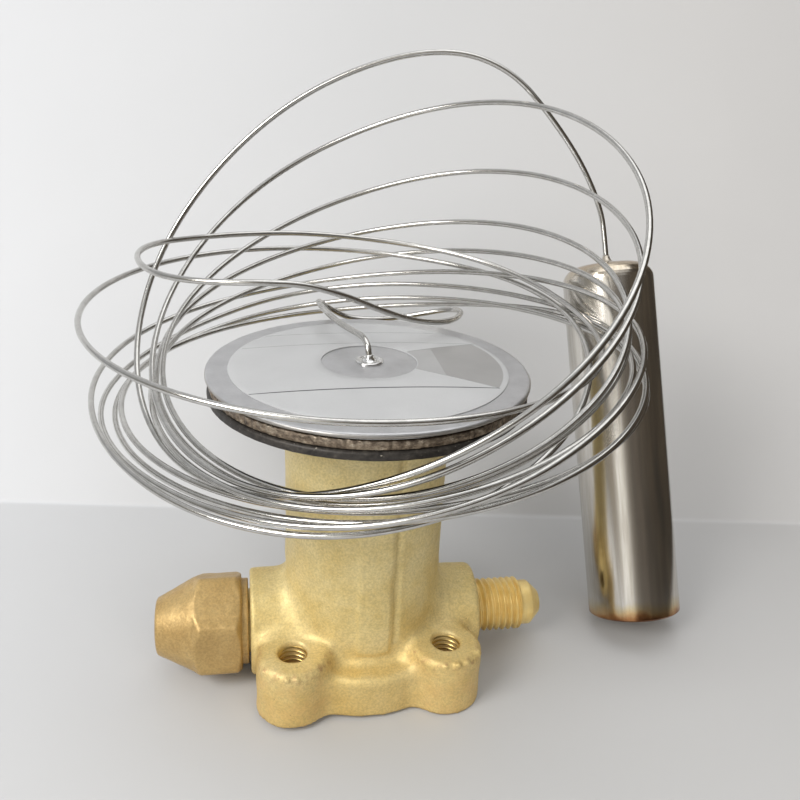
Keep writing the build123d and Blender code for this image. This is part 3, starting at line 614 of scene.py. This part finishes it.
# braze boss where the tube enters the cover
boss_prof = [(0.0, 65.42), (2.5, 65.40), (2.62, 65.52), (2.62, 65.72), (2.50, 65.86), (2.30, 65.92), (2.02, 65.88), (1.85, 65.74), (1.6, 65.72), (1.25, 65.84),
             (0.95, 66.08), (0.78, 66.42), (0.68, 66.8), (0.60, 66.85), (0.0, 66.85)]


def boss_mod(r, a, th, i):
    if r[0] > 0.62:
        r = r * (1 + 0.018 * np.sin(3 * th + 1.0) + 0.012 * np.sin(5 * th))
    return r, a


boss = lathe("tube_collar", boss_prof, n=96, mod=boss_mod, sharp=None)

# ---------------------------------------------------------------------------
# sensing bulb
# ---------------------------------------------------------------------------
B0 = np.array([62.20, -0.77, 5.22])
AX = np.array([-0.063, 0.383, 0.9214])
AX = AX / np.linalg.norm(AX)
ux = np.array([1.0, 0, 0]) - AX * AX[0]
ux /= np.linalg.norm(ux)
uy = np.cross(AX, ux)
BASIS = np.eye(4)
BASIS[:3, 0], BASIS[:3, 1], BASIS[:3, 2], BASIS[:3, 3] = ux, uy, AX, B0
L, R = 78.4, 9.9
neck_prof = [(0.0, L - 0.5), (2.15, L - 0.5), (2.2, L - 0.3), (1.9, L - 0.12), (1.45, L + 0.08), (1.1, L + 0.42), (0.85, L + 0.9), (0.70, L + 1.5), (0.0, L + 1.52)]
neck = lathe("bulb_joint", neck_prof, n=64, sharp=None, basis=BASIS)


# ---------------------------------------------------------------------------
# materials
# ---------------------------------------------------------------------------
class Mat:
    def __init__(self, name, metallic=1.0, **fixed):
        self.m = bpy.data.materials.new(name)
        self.m.use_nodes = True
        self.t = self.m.node_tree
        self.t.nodes.clear()
        self.o = self.t.nodes.new("ShaderNodeOutputMaterial")
        self.b = self.t.nodes.new("ShaderNodeBsdfPrincipled")
        self.t.links.new(self.b.outputs[0], self.o.inputs[0])
        self.b.inputs["Metallic"].default_value = metallic
        for k, v in fixed.items():
            self.b.inputs[k.replace("_", " ")].default_value = v
        tc = self.t.nodes.new("ShaderNodeTexCoord")
        mp = self.t.nodes.new("ShaderNodeMapping")
        mp.inputs["Scale"].default_value = (1000, 1000, 1000)
        self.t.links.new(tc.outputs["Object"], mp.inputs["Vector"])
        self.co = mp.outputs[0]

    def stretch(self, scale, rot=(0, 0, 0), loc=(0, 0, 0)):
        n = self.t.nodes.new("ShaderNodeMapping")
        n.inputs["Rotation"].default_value = rot
        n.inputs["Location"].default_value = loc
        n.inputs["Scale"].default_value = scale
        self.t.links.new(self.co, n.inputs["Vector"])
        return n.outputs[0]

    def noise(self, scale, detail=3.0, rough=0.55, vec=None, distortion=0.0):
        n = self.t.nodes.new("ShaderNodeTexNoise")
        n.inputs["Scale"].default_value = scale
        n.inputs["Detail"].default_value = detail
        n.inputs["Roughness"].default_value = rough
        n.inputs["Distortion"].default_value = distortion
        self.t.links.new(vec or self.co, n.inputs["Vector"])
        return n.outputs["Fac"]

    def voronoi(self, scale, vec=None, rand=1.0):
        n = self.t.nodes.new("ShaderNodeTexVoronoi")
        n.inputs["Scale"].default_value = scale
        n.inputs["Randomness"].default_value = rand
        self.t.links.new(vec or self.co, n.inputs["Vector"])
        return n.outputs["Distance"]

    def xyz(self, axis, vec=None):
        n = self.t.nodes.new("ShaderNodeSeparateXYZ")
        self.t.links.new(vec or self.co, n.inputs[0])
        return n.outputs[axis]

    def attr(self, name):
        n = self.t.nodes.new("ShaderNodeAttribute")
        n.attribute_name = name
        return n.outputs["Fac"]

    def ramp(self, fac, stops, interp="LINEAR"):
        n = self.t.nodes.new("ShaderNodeValToRGB")
        n.color_ramp.interpolation = interp
        el = n.color_ramp.elements
        while len(el) < len(stops):
            el.new(0.5)
        for e, (p, c) in zip(el, stops):
            e.position = p
            e.color = (c, c, c, 1) if isinstance(c, (int, float)) else (*c, 1)
        self.t.links.new(fac, n.inputs[0])
        return n.outputs[0]

    def mix(self, fac, a, b, mode="MIX"):
        n = self.t.nodes.new("ShaderNodeMix")
        n.data_type = "RGBA"
        n.blend_type = mode
        for sock, val in ((n.inputs[0], fac), (n.inputs[6], a), (n.inputs[7], b)):
            if isinstance(val, (int, float)):
                sock.default_value = val
            elif isinstance(val, tuple):
                sock.default_value = (*val, 1)
            else:
                self.t.links.new(val, sock)
        return n.outputs[2]

    def math(self, op, a, b=0.0):
        n = self.t.nodes.new("ShaderNodeMath")
        n.operation = op
        for sock, val in ((n.inputs[0], a), (n.inputs[1], b)):
            if isinstance(val, (int, float)):
                sock.default_value = val
            else:
                self.t.links.new(val, sock)
        return n.outputs[0]

    def remap(self, fac, a, b, c, d):
        n = self.t.nodes.new("ShaderNodeMapRange")
        for i, val in enumerate((a, b, c, d)):
            n.inputs[i + 1].default_value = val
        self.t.links.new(fac, n.inputs[0])
        return n.outputs[0]

    def bump(self, height, strength, distance_mm, base=None):
        n = self.t.nodes.new("ShaderNodeBump")
        n.inputs["Strength"].default_value = strength
        n.inputs["Distance"].default_value = distance_mm * MM
        self.t.links.new(height, n.inputs["Height"])
        if base is not None:
            self.t.links.new(base, n.inputs["Normal"])
        return n.outputs[0]

    def done(self, color=None, rough=None, normal=None):
        for name, v in (("Base Color", color), ("Roughness", rough), ("Normal", normal)):
            if v is None:
                continue
            if isinstance(v, tuple):
                self.b.inputs[name].default_value = (*v, 1)
            elif isinstance(v, (int, float)):
                self.b.inputs[name].default_value = v
            else:
                self.t.links.new(v, self.b.inputs[name])
        return self.m


def cast_brass(name, light, mid, dark, warm, grain=1.0, rough=0.50, stain=True, metallic=0.36):
    m = Mat(name, metallic=metallic)
    blotch = m.noise(0.11, 4, 0.6)
    c = m.ramp(blotch, [(0.30, dark), (0.50, mid), (0.70, light)])
    fine = m.noise(2.3 / grain, 4, 0.66)
    # with stain on, the colour is also made warmer and a little darker towards the foot, and slightly brighter and
    # cooler towards the top
    if stain:
        c = m.mix(1.0, c, m.ramp(m.remap(m.xyz("Z"), 4.0, 30.0, 0.0, 1.0), [(0.0, (0.97, 0.89, 0.76)), (0.5, (0.99, 0.985, 0.96)), (1.0, (0.98, 1.0, 1.06))]), "MULTIPLY")
    c = m.mix(0.46, c, m.ramp(fine, [(0.36, 0.50), (0.62, 1.0)]), "MULTIPLY")
    if stain:
        w = m.math("MULTIPLY", m.attr("warm"), m.ramp(m.noise(0.35, 5, 0.6), [(0.34, 0.0), (0.64, 0.75)]))
        c = m.mix(w, c, warm)
        s = m.math("MULTIPLY", m.attr("stain"), m.ramp(m.noise(0.9, 6, 0.7), [(0.50, 0.0), (0.66, 0.85)]))
        c = m.mix(s, c, (0.42, 0.24, 0.10))
        speck = m.ramp(m.voronoi(0.42), [(0.035, 1.0), (0.06, 0.0)])
        gate = m.ramp(m.noise(0.16, 2), [(0.48, 0.0), (0.56, 0.75)])
        c = m.mix(m.math("MULTIPLY", speck, gate), c, (0.30, 0.18, 0.07))
    r = m.remap(m.noise(0.6, 4, 0.6), 0.3, 0.7, rough - 0.07, rough + 0.10)
    b = m.bump(m.noise(0.85 / grain, 3, 0.55), 0.50, 0.10)
    b = m.bump(fine, 0.60, 0.08, b)
    return m.done(c, r, b)


M_CAST = cast_brass("cast_brass", (0.83, 0.69, 0.355), (0.78, 0.63, 0.29), (0.71, 0.54, 0.21), (0.70, 0.43, 0.16))
M_CAP = cast_brass("cap_brass", (0.62, 0.44, 0.19), (0.55, 0.375, 0.15), (0.46, 0.30, 0.11), (0.5, 0.3, 0.1), grain=1.15, rough=0.42, stain=False, metallic=0.45)


def turned_brass(name, base, dark, rough=0.2, axis="x", metallic=1.0):
    m = Mat(name, metallic=metallic)
    sc = (9.0, 0.25, 0.25) if axis == "x" else (0.25, 0.25, 9.0)
    lines = m.noise(1.0, 4, 0.6, m.stretch(sc))
    blot = m.noise(0.5, 3, 0.5)
    c = m.mix(m.ramp(blot, [(0.35, 0.0), (0.70, 1.0)]), base, dark)
    c = m.mix(0.25, c, m.ramp(lines, [(0.3, 0.6), (0.6, 1.0)]), "MULTIPLY")
    r = m.remap(lines, 0.3, 0.7, rough - 0.05, rough + 0.10)
    return m.done(c, r, m.bump(lines, 0.18, 0.03))


M_TURNED = turned_brass("turned_brass", (0.95, 0.74, 0.32), (0.86, 0.62, 0.22), rough=0.34, metallic=0.50)
M_TURNED_Z = turned_brass("turned_brass_z", (0.80, 0.60, 0.26), (0.66, 0.45, 0.15), axis="z")
M_THREAD = turned_brass("thread_brass", (0.66, 0.50, 0.20), (0.50, 0.34, 0.11), rough=0.3, axis="z")


def steel(name, a, b, rough=0.25, scale=0.6, stretch=(1, 1, 1), metallic=1.0, bump=0.03, fine=3.0):
    m = Mat(name, metallic=metallic)
    n1 = m.noise(scale, 4, 0.6, m.stretch(stretch))
    n2 = m.noise(fine, 3, 0.6, m.stretch(stretch))
    c = m.mix(m.ramp(n1, [(0.32, 0.0), (0.68, 1.0)]), a, b)
    c = m.mix(0.18, c, m.ramp(n2, [(0.3, 0.5), (0.6, 1.0)]), "MULTIPLY")
    r = m.remap(n1, 0.3, 0.7, rough - 0.05, rough + 0.08)
    return m.done(c, r, m.bump(n2, 0.25, bump))


M_TUBE = steel("tube_steel", (0.62, 0.61, 0.585), (0.50, 0.49, 0.465), rough=0.15, scale=0.35, bump=0.012, fine=2.2)
M_SPRING = steel("spring_steel", (0.55, 0.55, 0.55), (0.42, 0.42, 0.43), rough=0.3)
M_DISC = steel("diaphragm_steel", (0.66, 0.66, 0.65), (0.56, 0.56, 0.56), rough=0.25)
M_SPINDLE = steel("spindle_steel", (0.62, 0.62, 0.61), (0.50, 0.50, 0.50), rough=0.28, stretch=(0.3, 2, 2))
M_COLLAR = steel("collar_steel", (0.82, 0.82, 0.81), (0.66, 0.65, 0.63), rough=0.16, scale=1.2)


def head_steel():
    m = Mat("head_steel", metallic=0.9)
    n1 = m.noise(0.25, 4, 0.6)
    n2 = m.noise(2.6, 4, 0.65)
    c = m.mix(m.ramp(n1, [(0.32, 0.0), (0.68, 1.0)]), (0.60, 0.60, 0.61), (0.52, 0.52, 0.53))
    z = m.xyz("Z")
    tint = m.ramp(m.remap(z, 63.5, 64.35, 0.0, 1.0), [(0.0, (0.30, 0.26, 0.21)), (0.35, (0.62, 0.57, 0.50)), (0.8, (0.85, 0.83, 0.79)), (1.0, (1.0, 1.0, 1.0))])
    c = m.mix(1.0, c, tint, "MULTIPLY")
    c = m.mix(0.2, c, m.ramp(n2, [(0.3, 0.55), (0.6, 1.0)]), "MULTIPLY")
    r = m.remap(n2, 0.3, 0.7, 0.30, 0.44)
    return m.done(c, r, m.bump(n2, 0.25, 0.03))


M_HEAD = head_steel()


def weld_steel():
    m = Mat("weld_band_steel", metallic=0.9)
    n1 = m.noise(0.55, 5, 0.65, m.stretch((1, 1, 2.2)))
    n2 = m.noise(2.4, 4, 0.7, m.stretch((1, 1, 1.6)))
    c = m.ramp(n1, [(0.30, (0.10, 0.08, 0.065)), (0.45, (0.24, 0.19, 0.145)), (0.58, (0.42, 0.35, 0.27)), (0.72, (0.60, 0.54, 0.45))])
    c = m.mix(0.5, c, m.ramp(n2, [(0.36, 0.25), (0.62, 1.0)]), "MULTIPLY")
    z = m.xyz("Z")
    c = m.mix(1.0, c, m.ramp(m.remap(z, 61.3, 63.45, 0.0, 1.0), [(0.0, (0.45, 0.42, 0.40)), (0.16, (1.0, 0.96, 0.9)), (0.72, (1, 1, 1)), (0.86, (0.22, 0.19, 0.16)), (1.0, (0.10, 0.09, 0.08))]), "MULTIPLY")
    r = m.remap(n1, 0.3, 0.7, 0.42, 0.25)
    b = m.bump(n2, 0.7, 0.10)
    return m.done(c, r, b)


def black_plate():
    m = Mat("blackened_plate", metallic=0.35)
    n1 = m.noise(0.8, 5, 0.65)
    c = m.ramp(n1, [(0.35, (0.016, 0.014, 0.012)), (0.6, (0.05, 0.044, 0.038)), (0.75, (0.10, 0.085, 0.07))])
    sp1 = m.ramp(m.noise(2.1, 3, 0.7), [(0.66, 0.0), (0.74, 1.0)])
    c = m.mix(sp1, c, (0.42, 0.38, 0.32))
    return m.done(c, m.remap(n1, 0.3, 0.7, 0.35, 0.6), m.bump(m.noise(1.6, 4, 0.65), 0.6, 0.08))


M_WELD = weld_steel()
M_BLACK = black_plate()


def foil(name, col, col2, rough=0.42, metallic=0.25):
    m = Mat(name, metallic=metallic)
    n1 = m.noise(0.09, 3, 0.5)
    n2 = m.noise(3.2, 2, 0.5)
    c = m.mix(m.ramp(n1, [(0.35, 0.0), (0.65, 1.0)]), col, col2)
    c = m.mix(0.07, c, m.ramp(n2, [(0.3, 0.3), (0.6, 1.0)]), "MULTIPLY")
    return m.done(c, m.remap(n2, 0.3, 0.7, rough - 0.04, rough + 0.05), m.bump(m.noise(0.5, 3, 0.5), 0.12, 0.04))


M_FOIL = foil("label_foil", (0.505, 0.51, 0.515), (0.475, 0.48, 0.485))
M_WINDOW = foil("label_grey", (0.42, 0.42, 0.42), (0.38, 0.38, 0.38), 0.36, 0.35)
M_WINDOW2 = foil("label_grey_dark", (0.345, 0.34, 0.335), (0.31, 0.305, 0.30), 0.34, 0.35)
M_INK = foil("label_ink", (0.045, 0.047, 0.05), (0.06, 0.062, 0.066), 0.5, 0.0)
M_INK2 = foil("label_ink_grey", (0.27, 0.275, 0.28), (0.31, 0.31, 0.31), 0.5, 0.0)


def bulb_steel():
    m = Mat("bulb_stainless", metallic=1.0)
    rot = Matrix((Vector(ux), Vector(uy), Vector(AX))).to_euler()
    loc = tuple(-(Matrix((Vector(ux), Vector(uy), Vector(AX))) @ Vector(B0)))
    n = m.t.nodes.new("ShaderNodeMapping")
    n.inputs["Rotation"].default_value = rot
    n.inputs["Location"].default_value = loc
    m.t.links.new(m.co, n.inputs["Vector"])
    local = n.outputs[0]
    st = m.t.nodes.new("ShaderNodeMapping")
    st.inputs["Scale"].default_value = (1.0, 1.0, 0.06)
    m.t.links.new(local, st.inputs["Vector"])
    streak = m.noise(1.3, 4, 0.6, st.outputs[0])
    fine = m.noise(5.0, 3, 0.6, st.outputs[0])
    z = m.xyz("Z", local)
    c = m.mix(m.ramp(streak, [(0.35, 0.0), (0.65, 1.0)]), (0.68, 0.655, 0.61), (0.57, 0.54, 0.49))
    wob = m.math("ADD", z, m.remap(m.noise(0.25, 3, 0.5, local), 0.3, 0.7, -0.9, 0.9))
    tint = m.ramp(m.remap(wob, 0.0, 6.0, 0.0, 1.0), [(0.0, (0.30, 0.13, 0.06)), (0.12, (0.62, 0.33, 0.16)), (0.30, (0.93, 0.70, 0.42)), (0.48, (0.98, 0.90, 0.70)), (0.75, (1, 1, 1))])
    c = m.mix(1.0, c, tint, "MULTIPLY")
    tint2 = m.ramp(m.remap(wob, 73.4, 79.4, 0.0, 1.0), [(0.0, (1, 1, 1)), (0.55, (0.90, 0.80, 0.66)), (1.0, (0.62, 0.46, 0.32))])
    c = m.mix(1.0, c, tint2, "MULTIPLY")
    r = m.remap(streak, 0.3, 0.7, 0.16, 0.24)
    return m.done(c, r, m.bump(fine, 0.10, 0.012))


M_BULB = bulb_steel()
M_JOINT = steel("braze", (0.62, 0.57, 0.49), (0.46, 0.41, 0.34), rough=0.34, scale=1.0)
M_PLUG = steel("plug_steel", (0.42, 0.33, 0.24), (0.58, 0.52, 0.45), rough=0.34, scale=0.6)


def fibre():
    m = Mat("moulded_ring", metallic=0.0)
    n1 = m.noise(1.4, 4, 0.6)
    return m.done(m.mix(m.ramp(n1, [(0.35, 0.0), (0.65, 1.0)]), (0.82, 0.80, 0.74), (0.74, 0.71, 0.64)), m.remap(n1, 0.3, 0.7, 0.4, 0.55), m.bump(n1, 0.3, 0.05))


M_FIBRE = fibre()


def paint(ob, mat):
    if ob.type == "MESH":
        ob.data.materials.clear()
    ob.data.materials.append(mat)


def add(ob, mat, body="valve", replaced=()):
    paint(ob, mat)
    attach(ob, body)
    if replaced:
        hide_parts(*replaced)


add(capillary, M_TUBE, replaced=("capillary_tube",))
add(housing, M_CAST, replaced=("housing",))
add(stub, M_TURNED)
add(spigot, M_TURNED)
for s in sleeves:
    add(s, M_THREAD)
add(cap, M_CAP, body="cap", replaced=("cap",))
add(cover, M_HEAD, replaced=("head_cover",))
add(weld, M_WELD, replaced=("weld_ring",))
add(plate, M_BLACK, replaced=("lower_plate",))
add(label, M_FOIL, replaced=("label_foil",))
add(window, M_WINDOW)
add(window2, M_WINDOW2)
add(rule_front, M_INK)
add(rule_back, M_INK2)
add(rule_far, M_INK2)
add(window_edge_a, M_INK2)
add(window_edge_b, M_INK2)
add(boss, M_COLLAR, replaced=("centre_washer",))
add(neck, M_JOINT, replaced=("bulb_neck",))

for name, mat in (("rod_guide", M_TURNED_Z), ("guide_ring", M_SPRING), ("thrust_washer", M_SPRING), ("crown_gear", M_TURNED_Z),
                  ("setting_spindle", M_SPINDLE), ("spindle_clip", M_SPRING), ("gland_packing", M_FIBRE), ("gland_nut", M_TURNED),
                  ("spring_seat", M_TURNED_Z), ("superheat_spring", M_SPRING), ("diaphragm_pad", M_TURNED_Z), ("push_rod", M_DISC),
                  ("diaphragm", M_DISC), ("cap_gasket", M_FIBRE), ("bulb_shell", M_BULB), ("bulb_end_plug", M_PLUG)):
    ob = N[name]
    if ob.data.materials:
        for i in range(len(ob.data.materials)):
            ob.data.materials[i] = mat
    else:
        ob.data.materials.append(mat)

# ---------------------------------------------------------------------------
# floor, backdrop, light
# ---------------------------------------------------------------------------
TILT = 0.0308


def floor_z(x):
    return TILT * (x - 21.8)


EL, ER = Vector((-92.0, 78.4, 0)), Vector((128.0, 34.6, 0))
d = (ER - EL).normalized()
back = Vector((-d.y, d.x, 0))
if back.y < 0:
    back = -back
near = -back


def stage_point(s, t, zz):
    """s along the back line, t away from it towards the camera (negative: behind), zz above the floor."""
    p = EL + d * s + near * t
    return (p.x, p.y, floor_z(p.x) + zz)


rows = []
for t in (900, 600, 400, 300, 200, 120, 60, 30, 14, 7, 2.6):
    rows.append((t, 0.0))
lean = math.radians(36)
for k in range(0, 9):
    a = (math.pi / 2 - lean) * k / 8
    rows.append((1.6 - 1.6 * math.sin(a), 1.6 * (1 - math.cos(a))))
t0, z0_ = rows[-1]
for q in (20, 60, 120, 200, 320, 480, 700):
    rows.append((t0 - q * math.sin(lean), z0_ + q * math.cos(lean)))
cols = list(np.linspace(-700, 950, 34))
V, F = [], []
for t, zz in rows:
    for s in cols:
        V.append(stage_point(s, t, zz))
W = len(cols)
for i in range(len(rows) - 1):
    for j in range(W - 1):
        F.append((i * W + j, i * W + j + 1, (i + 1) * W + j + 1, (i + 1) * W + j))
floor = make_object("studio_floor", V, F)
# painted shade: the flat part of the paper is coloured a little darker than its leaning part, and darkest towards the
# front
floor_shade_weights = [max(0.0, min(1.0, (t - 1.2) / 1.0)) * (0.80 if t < 20 else 0.9 if t < 100 else 1.0) for t, zz in rows for q in cols]
lt = floor.data.attributes.new("painted_floor_shade", "FLOAT", "POINT")
lt.data.foreach_set("value", np.array(floor_shade_weights, dtype=np.float32))
fm = Mat("studio_paper", metallic=0.0)
g = fm.noise(0.02, 3, 0.5)
fx = fm.xyz("X")
# painted light: the paper is coloured lighter on the left and darker to the right, where less light falls
side = fm.ramp(fm.remap(fx, -120.0, 200.0, 0.0, 1.0), [(0.0, (0.615, 0.625, 0.645)), (0.45, (0.535, 0.54, 0.548)), (0.75, (0.525, 0.520, 0.517)), (1.0, (0.50, 0.492, 0.488))])
# painted shade: the flat paper is darkened by its per-vertex weights
floor_shade_tint = fm.ramp(fm.attr("painted_floor_shade"), [(0.0, (1.0, 1.0, 1.0)), (1.0, (0.89, 0.885, 0.875))])
side = fm.mix(1.0, side, floor_shade_tint, "MULTIPLY")
fcol = fm.mix(0.06, side, fm.ramp(g, [(0.3, 0.7), (0.7, 1.0)]), "MULTIPLY")
fm.done(fcol, 0.75, fm.bump(fm.noise(0.9, 3, 0.5), 0.08, 0.05))
# from behind, the leaning paper isn't there, so the object can be seen from every side
geo = fm.t.nodes.new("ShaderNodeNewGeometry")
clear = fm.t.nodes.new("ShaderNodeBsdfTransparent")
both = fm.t.nodes.new("ShaderNodeMixShader")
outn = [n for n in fm.t.nodes if n.type == "OUTPUT_MATERIAL"][0]
front = outn.inputs["Surface"].links[0].from_socket
fm.t.links.new(geo.outputs["Backfacing"], both.inputs[0])
fm.t.links.new(front, both.inputs[1])
fm.t.links.new(clear.outputs[0], both.inputs[2])
fm.t.links.new(both.outputs[0], outn.inputs["Surface"])
paint(floor, fm.m)
RV, RF = [], []
RT = (1.0, -60.0, -160.0, -320.0, -600.0, -900.0)
for t in RT:
    for q in cols:
        RV.append(stage_point(q, t, -0.05))
for i in range(len(RT) - 1):
    for j in range(W - 1):
        RF.append((i * W + j, i * W + j + 1, (i + 1) * W + j + 1, (i + 1) * W + j))
rear = make_object("studio_floor_rear", RV, RF)
# painted shade: the rear floor carries the full darkening of the flat paper
rt_ = rear.data.attributes.new("painted_floor_shade", "FLOAT", "POINT")
rt_.data.foreach_set("value", np.ones(len(RV), dtype=np.float32))
paint(rear, fm.m)

card = make_object("dark_card", [(122, -190, -4), (122, 96, -4), (122, 96, 190), (122, -190, 190)], [(0, 1, 2, 3)])
cm = Mat("card_felt", metallic=0.0)
cm.done(cm.ramp(cm.noise(0.03, 3, 0.5), [(0.35, (0.030, 0.024, 0.018)), (0.65, (0.075, 0.058, 0.040))]), 0.9)
paint(card, cm.m)
card.visible_camera = False
card.visible_diffuse = False
card.visible_shadow = False

world = bpy.data.worlds.new("studio")
scene.world = world
world.use_nodes = True
wt = world.node_tree
wt.nodes.clear()
wo = wt.nodes.new("ShaderNodeOutputWorld")
bg = wt.nodes.new("ShaderNodeBackground")
wt.links.new(bg.outputs[0], wo.inputs[0])
tc = wt.nodes.new("ShaderNodeTexCoord")
sep = wt.nodes.new("ShaderNodeSeparateXYZ")
wt.links.new(tc.outputs["Generated"], sep.inputs[0])
at2 = wt.nodes.new("ShaderNodeMath")
at2.operation = "ARCTAN2"
wt.links.new(sep.outputs["X"], at2.inputs[0])
wt.links.new(sep.outputs["Y"], at2.inputs[1])
mr = wt.nodes.new("ShaderNodeMapRange")
mr.inputs[1].default_value, mr.inputs[2].default_value = -math.pi, math.pi
wt.links.new(at2.outputs[0], mr.inputs[0])
rp = wt.nodes.new("ShaderNodeValToRGB")
# azimuth from +Y (0.5) round by +X (0.75) to -Y (1.0) and -X (0.25); the camera stands near -Y
AZ = [(0.000, (0.14, 0.12, 0.10)), (0.040, (0.30, 0.27, 0.23)), (0.068, (1.15, 1.12, 1.05)), (0.106, (1.35, 1.33, 1.28)), (0.130, (0.40, 0.35, 0.28)), (0.20, (0.26, 0.24, 0.20)),
      (0.30, (0.50, 0.51, 0.52)), (0.50, (0.85, 0.87, 0.90)), (0.66, (0.42, 0.41, 0.41)), (0.72, (0.05, 0.045, 0.04)), (0.77, (0.20, 0.16, 0.11)), (0.84, (0.16, 0.125, 0.085)),
      (0.868, (0.02, 0.018, 0.015)), (0.885, (0.02, 0.018, 0.015)), (0.91, (0.10, 0.08, 0.06)), (0.96, (0.16, 0.135, 0.11)), (1.0, (0.14, 0.12, 0.10))]
while len(rp.color_ramp.elements) < len(AZ):
    rp.color_ramp.elements.new(0.5)
for e, (p, c) in zip(rp.color_ramp.elements, AZ):
    e.position = p
    e.color = (*c, 1)
wt.links.new(mr.outputs[0], rp.inputs[0])
el = wt.nodes.new("ShaderNodeValToRGB")
while len(el.color_ramp.elements) < 3:
    el.color_ramp.elements.new(0.5)
for e, (p, c) in zip(el.color_ramp.elements, [(0.69, 0.0), (0.83, 0.55), (0.96, 1.0)]):
    e.position = p
    e.color = (c, c, c, 1)
mz = wt.nodes.new("ShaderNodeMapRange")
mz.inputs[1].default_value, mz.inputs[2].default_value = -1.0, 1.0
wt.links.new(sep.outputs["Z"], mz.inputs[0])
wt.links.new(mz.outputs[0], el.inputs[0])
mx = wt.nodes.new("ShaderNodeMix")
mx.data_type = "RGBA"
wt.links.new(el.outputs[0], mx.inputs[0])
wt.links.new(rp.outputs[0], mx.inputs[6])
mx.inputs[7].default_value = (0.74, 0.75, 0.76, 1)
lp = wt.nodes.new("ShaderNodeLightPath")
plain = wt.nodes.new("ShaderNodeMix")
plain.data_type = "RGBA"
wt.links.new(lp.outputs["Is Camera Ray"], plain.inputs[0])
wt.links.new(mx.outputs[2], plain.inputs[6])
plain.inputs[7].default_value = (0.72, 0.72, 0.72, 1)
wt.links.new(plain.outputs[2], bg.inputs[0])
bg.inputs[1].default_value = 0.90


def area(name, loc, target, size, power, color=(1, 1, 1)):
    l = bpy.data.lights.new(name, "AREA")
    l.energy = power
    l.size = size
    l.color = color
    o = bpy.data.objects.new(name, l)
    scene.collection.objects.link(o)
    o.location = Vector(loc) * MM
    o.rotation_euler = (Vector(target) * MM - o.location).to_track_quat("-Z", "Y").to_euler()
    return o


area("window", (-420, -260, 420), (0, 0, 30), 0.30, 3.0, (1.0, 0.985, 0.965))
fill = area("fill", (70, -330, 200), (0, 0, 30), 0.26, 0.40, (1.0, 0.985, 0.955))
fill.visible_glossy = False
area("ceiling", (60, 60, 620), (0, 20, 0), 0.5, 0.9, (1.0, 1.0, 1.0))
